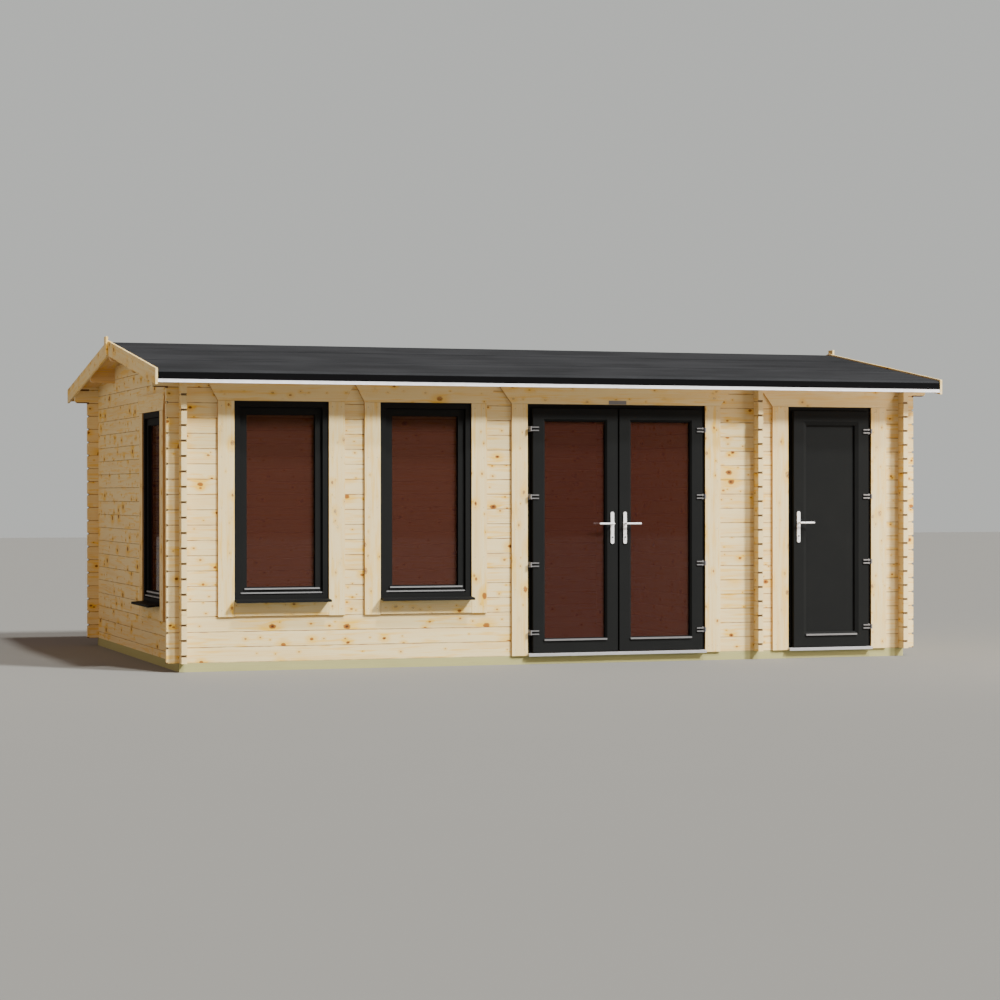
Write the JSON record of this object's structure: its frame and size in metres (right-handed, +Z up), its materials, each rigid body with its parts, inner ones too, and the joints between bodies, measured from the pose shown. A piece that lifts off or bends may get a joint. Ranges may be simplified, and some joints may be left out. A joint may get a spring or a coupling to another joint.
{
  "type": "log cabin",
  "caption": "Two-room log cabin with a low gable roof, glazed double door, solid store door and tall fixed windows.",
  "frame": {"origin": "middle of the box round the whole cabin, at ground level under the bearers", "axes": "+X to the right along the front wall, +Y to the back, +Z up"},
  "size_m": [6.812, 4.344, 2.732],
  "materials": {
    "spruce_logs": "planed softwood logs with knots, unpainted",
    "spruce_boards": "planed softwood boards",
    "green_bearers": "pressure treated softwood, pale green",
    "roof_felt": "charcoal bitumen roofing felt, matt",
    "dark_frame": "anthracite satin coating",
    "tinted_glass": "double glazing, dark in daylight",
    "pale_metal": "satin aluminium",
    "trim_metal": "pale folded metal drip edge",
    "handle_metal": "polished handle metal",
    "hinge_metal": "zinc plated steel"
  },
  "bodies": {
    "cabin": {"long_bearers": "green_bearers", "cross_bearers": "green_bearers", "floor_boards": "spruce_boards", "front_wall_left": "spruce_logs", "front_wall_middle": "spruce_logs", "front_wall_right": "spruce_logs", "front_wall_top": "spruce_logs", "back_wall": "spruce_logs", "left_gable_wall": "spruce_logs", "partition_wall": "spruce_logs", "right_gable_wall": "spruce_logs", "front_window_frames": "dark_frame", "side_window_frame": "dark_frame", "window_glass": "tinted_glass", "window_weather_bars": "pale_metal", "window_sills": "dark_frame", "front_window_casings": "spruce_boards", "side_window_casing": "spruce_boards", "double_door_casing": "spruce_boards", "single_door_casing": "spruce_boards", "double_door_frame": "dark_frame", "single_door_frame": "dark_frame", "door_thresholds": "pale_metal", "door_hinge_plates": "hinge_metal", "door_head_plate": "pale_metal", "purlins": "spruce_logs", "front_roof_boards": "spruce_boards", "back_roof_boards": "spruce_boards", "roof_felt": "roof_felt", "eave_boards": "spruce_boards", "eave_drip_trims": "trim_metal", "left_barge_boards": "spruce_boards", "right_barge_boards": "spruce_boards", "apex_plates": "spruce_boards"},
    "left_door": {"left_leaf": "dark_frame", "left_leaf_glass": "tinted_glass", "left_leaf_fittings": "hinge_metal", "left_handle_plates": "handle_metal"},
    "left_handle": {"left_lever": "handle_metal"},
    "right_door": {"right_leaf": "dark_frame", "right_leaf_glass": "tinted_glass", "right_leaf_fittings": "hinge_metal", "right_handle_plates": "handle_metal"},
    "right_handle": {"right_lever": "handle_metal"},
    "store_door": {"store_leaf": "dark_frame", "store_leaf_fittings": "hinge_metal", "store_handle_plates": "handle_metal"},
    "store_handle": {"store_lever": "handle_metal"}
  },
  "joints": [
    {"name": "left_door_swing", "type": "hinge", "parent": "cabin", "child": "left_door", "pos_m": [-0.257, -1.952, 1.092], "axis": [0, 0, -1], "range_deg": [0, 165]},
    {"name": "left_handle_turn", "type": "hinge", "parent": "left_door", "child": "left_handle", "pos_m": [0.4585, -1.916, 1.148], "axis": [0, -1, 0], "range_deg": [0, 45], "stiffness_Nm_per_rad": 2, "springref_deg": -14.9},
    {"name": "right_door_swing", "type": "hinge", "parent": "cabin", "child": "right_door", "pos_m": [1.286, -1.952, 1.092], "axis": [0, 0, 1], "range_deg": [0, 165]},
    {"name": "right_handle_turn", "type": "hinge", "parent": "right_door", "child": "right_handle", "pos_m": [0.5705, -1.916, 1.148], "axis": [0, 1, 0], "range_deg": [0, 45], "stiffness_Nm_per_rad": 2, "springref_deg": -14.9},
    {"name": "store_door_swing", "type": "hinge", "parent": "cabin", "child": "store_door", "pos_m": [2.824, -1.952, 1.092], "axis": [0, 0, 1], "range_deg": [0, 160]},
    {"name": "store_handle_turn", "type": "hinge", "parent": "store_door", "child": "store_handle", "pos_m": [2.145, -1.916, 1.148], "axis": [0, 1, 0], "range_deg": [0, 45], "stiffness_Nm_per_rad": 2, "springref_deg": -14.9}
  ]
}
